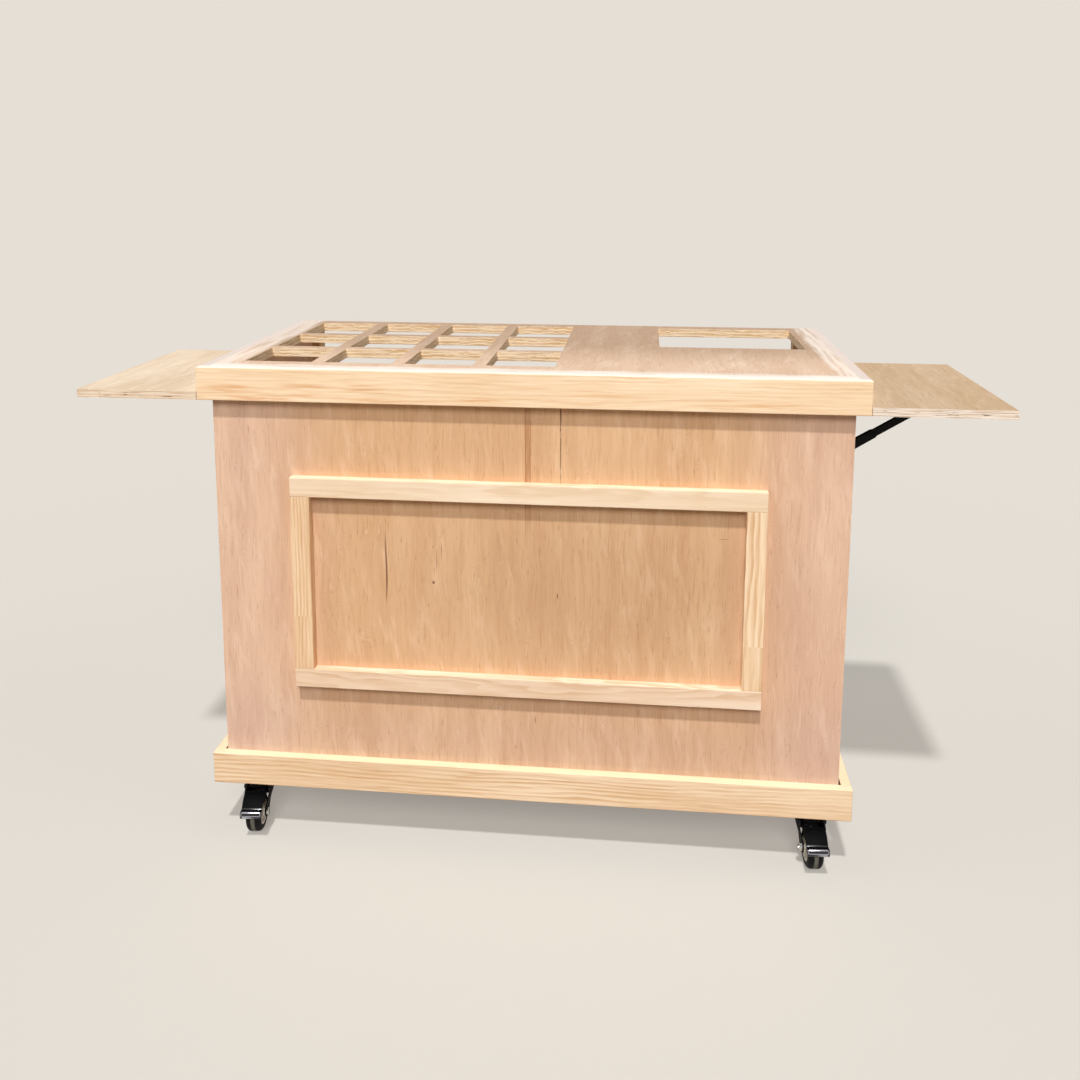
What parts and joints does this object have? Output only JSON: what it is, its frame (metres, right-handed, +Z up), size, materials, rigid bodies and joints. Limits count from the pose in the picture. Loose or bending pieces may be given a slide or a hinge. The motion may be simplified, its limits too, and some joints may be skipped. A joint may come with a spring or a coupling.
{
  "type": "cheese trolley",
  "caption": "Open-backed plywood serving cabinet on braked swivel casters, with a top cut out for square bins and a pan and a drop leaf on a folding bracket at each end.",
  "frame": {"origin": "on the floor, under the middle of the outline with both leaves up and all casters as in the picture", "axes": "+X to the right seen from the front, +Y from the panelled front to the open back, +Z up"},
  "size_m": [1.749, 0.7177, 0.961],
  "materials": {
    "veneered_plywood_top": "matte sanded",
    "pine_apron": "matte sanded",
    "maple_plywood_panel": "satin",
    "plain_plywood_inside": "matte",
    "pine_batten": "matte",
    "pine_plinth": "matte sanded",
    "pine_moulding": "matte sanded",
    "birch_plywood_leaf": "matte",
    "black_bracket_steel": "satin black",
    "black_caster_steel": "gloss black",
    "zinc_plated_steel": "bright plated",
    "black_rubber_tread": "worn matte",
    "cream_plastic_hub": "matte"
  },
  "bodies": {
    "cabinet": {"top_sheet": "veneered_plywood_top", "apron_front": "pine_apron", "apron_left": "pine_apron", "apron_right": "pine_apron", "front_panel": "maple_plywood_panel", "side_panel_left": "maple_plywood_panel", "side_panel_right": "maple_plywood_panel", "floor_panel": "plain_plywood_inside", "shelf": "plain_plywood_inside", "corner_posts": "pine_batten", "shelf_cleats": "pine_batten", "plinth_front": "pine_plinth", "plinth_left": "pine_plinth", "plinth_right": "pine_plinth", "plinth_back": "pine_plinth", "moulding_rail_top": "pine_moulding", "moulding_rail_bottom": "pine_moulding", "moulding_stile_left": "pine_moulding", "moulding_stile_right": "pine_moulding", "wall_arm_left": "black_bracket_steel", "wall_fixings_left": "zinc_plated_steel", "wall_arm_right": "black_bracket_steel", "wall_fixings_right": "zinc_plated_steel", "caster_plate_front_left": "black_caster_steel", "caster_plate_front_right": "black_caster_steel", "caster_plate_back_left": "black_caster_steel", "caster_plate_back_right": "black_caster_steel", "caster_screws": "zinc_plated_steel"},
    "drop_leaf_right": {"leaf_right": "birch_plywood_leaf", "shelf_arm_right": "black_bracket_steel", "leaf_fixings_right": "zinc_plated_steel"},
    "brace_lower_right": {"lower_link_right": "black_bracket_steel"},
    "brace_upper_right": {"upper_link_right": "black_bracket_steel"},
    "drop_leaf_left": {"leaf_left": "birch_plywood_leaf", "shelf_arm_left": "black_bracket_steel", "leaf_fixings_left": "zinc_plated_steel"},
    "brace_lower_left": {"lower_link_left": "black_bracket_steel"},
    "brace_upper_left": {"upper_link_left": "black_bracket_steel"},
    "caster_fork_front_left": {"fork_front_left": "black_caster_steel", "axle_front_left": "zinc_plated_steel"},
    "caster_wheel_front_left": {"tyre_front_left": "black_rubber_tread", "hub_front_left": "cream_plastic_hub"},
    "brake_pedal_front_left": {"pedal_front_left": "black_caster_steel"},
    "caster_fork_front_right": {"fork_front_right": "black_caster_steel", "axle_front_right": "zinc_plated_steel"},
    "caster_wheel_front_right": {"tyre_front_right": "black_rubber_tread", "hub_front_right": "cream_plastic_hub"},
    "brake_pedal_front_right": {"pedal_front_right": "black_caster_steel"},
    "caster_fork_back_left": {"fork_back_left": "black_caster_steel", "axle_back_left": "zinc_plated_steel"},
    "caster_wheel_back_left": {"tyre_back_left": "black_rubber_tread", "hub_back_left": "cream_plastic_hub"},
    "brake_pedal_back_left": {"pedal_back_left": "black_caster_steel"},
    "caster_fork_back_right": {"fork_back_right": "black_caster_steel", "axle_back_right": "zinc_plated_steel"},
    "caster_wheel_back_right": {"tyre_back_right": "black_rubber_tread", "hub_back_right": "cream_plastic_hub"},
    "brake_pedal_back_right": {"pedal_back_right": "black_caster_steel"}
  },
  "joints": [
    {"name": "leaf_fold_right", "type": "hinge", "parent": "cabinet", "child": "drop_leaf_right", "pos_m": [0.6095, -0.093, 0.8865], "axis": [0, 1, 0], "range_deg": [0, 90]},
    {"name": "lower_link_turn_right", "type": "hinge", "parent": "cabinet", "child": "brace_lower_right", "pos_m": [0.6095, -0.093, 0.7705], "axis": [0, 1, 0], "range_deg": [-58.38, 0]},
    {"name": "upper_link_turn_right", "type": "hinge", "parent": "drop_leaf_right", "child": "brace_upper_right", "pos_m": [0.7975, -0.093, 0.8865], "axis": [0, 1, 0], "range_deg": [0, 31.73]},
    {"name": "leaf_fold_left", "type": "hinge", "parent": "cabinet", "child": "drop_leaf_left", "pos_m": [-0.6215, 0.025, 0.8865], "axis": [0, -1, 0], "range_deg": [0, 90]},
    {"name": "lower_link_turn_left", "type": "hinge", "parent": "cabinet", "child": "brace_lower_left", "pos_m": [-0.6215, 0.025, 0.7705], "axis": [0, -1, 0], "range_deg": [-58.38, 0]},
    {"name": "upper_link_turn_left", "type": "hinge", "parent": "drop_leaf_left", "child": "brace_upper_left", "pos_m": [-0.8095, 0.025, 0.8865], "axis": [0, -1, 0], "range_deg": [0, 31.73]},
    {"name": "swivel_front_left", "type": "hinge", "parent": "cabinet", "child": "caster_fork_front_left", "pos_m": [-0.559, -0.272, 0.108], "axis": [0, 0, 1], "continuous": true},
    {"name": "wheel_spin_front_left", "type": "hinge", "parent": "caster_fork_front_left", "child": "caster_wheel_front_left", "pos_m": [-0.55545, -0.30581, 0.0375], "axis": [0.9945, 0.1045, 0], "continuous": true},
    {"name": "brake_press_front_left", "type": "hinge", "parent": "caster_fork_front_left", "child": "brake_pedal_front_left", "pos_m": [-0.55701, -0.29094, 0.083], "axis": [0.9945, 0.1045, 0], "range_deg": [0, 5.5]},
    {"name": "swivel_front_right", "type": "hinge", "parent": "cabinet", "child": "caster_fork_front_right", "pos_m": [0.553, -0.272, 0.108], "axis": [0, 0, 1], "continuous": true},
    {"name": "wheel_spin_front_right", "type": "hinge", "parent": "caster_fork_front_right", "child": "caster_wheel_front_right", "pos_m": [0.55537, -0.30592, 0.0375], "axis": [0.9976, 0.0698, 0], "continuous": true},
    {"name": "brake_press_front_right", "type": "hinge", "parent": "caster_fork_front_right", "child": "brake_pedal_front_right", "pos_m": [0.55433, -0.29099, 0.083], "axis": [0.9976, 0.0698, 0], "range_deg": [0, 5.5]},
    {"name": "swivel_back_left", "type": "hinge", "parent": "cabinet", "child": "caster_fork_back_left", "pos_m": [-0.559, 0.272, 0.108], "axis": [0, 0, 1], "continuous": true},
    {"name": "wheel_spin_back_left", "type": "hinge", "parent": "caster_fork_back_left", "child": "caster_wheel_back_left", "pos_m": [-0.56036, 0.30597, 0.0375], "axis": [-0.9992, -0.0401, 0], "continuous": true},
    {"name": "brake_press_back_left", "type": "hinge", "parent": "caster_fork_back_left", "child": "brake_pedal_back_left", "pos_m": [-0.55976, 0.29102, 0.083], "axis": [-0.9992, -0.0401, 0], "range_deg": [0, 5.5]},
    {"name": "swivel_back_right", "type": "hinge", "parent": "cabinet", "child": "caster_fork_back_right", "pos_m": [0.553, 0.272, 0.108], "axis": [0, 0, 1], "continuous": true},
    {"name": "wheel_spin_back_right", "type": "hinge", "parent": "caster_fork_back_right", "child": "caster_wheel_back_right", "pos_m": [0.54827, 0.30567, 0.0375], "axis": [-0.9903, -0.1392, 0], "continuous": true},
    {"name": "brake_press_back_right", "type": "hinge", "parent": "caster_fork_back_right", "child": "brake_pedal_back_right", "pos_m": [0.55035, 0.29085, 0.083], "axis": [-0.9903, -0.1392, 0], "range_deg": [0, 5.5]}
  ],
  "couplings": [
    {"joint": "lower_link_turn_right", "follows": "leaf_fold_right", "ratio": -0.64805},
    {"joint": "upper_link_turn_right", "follows": "leaf_fold_right", "ratio": 0.35195},
    {"joint": "lower_link_turn_left", "follows": "leaf_fold_left", "ratio": -0.64805},
    {"joint": "upper_link_turn_left", "follows": "leaf_fold_left", "ratio": 0.35195}
  ]
}
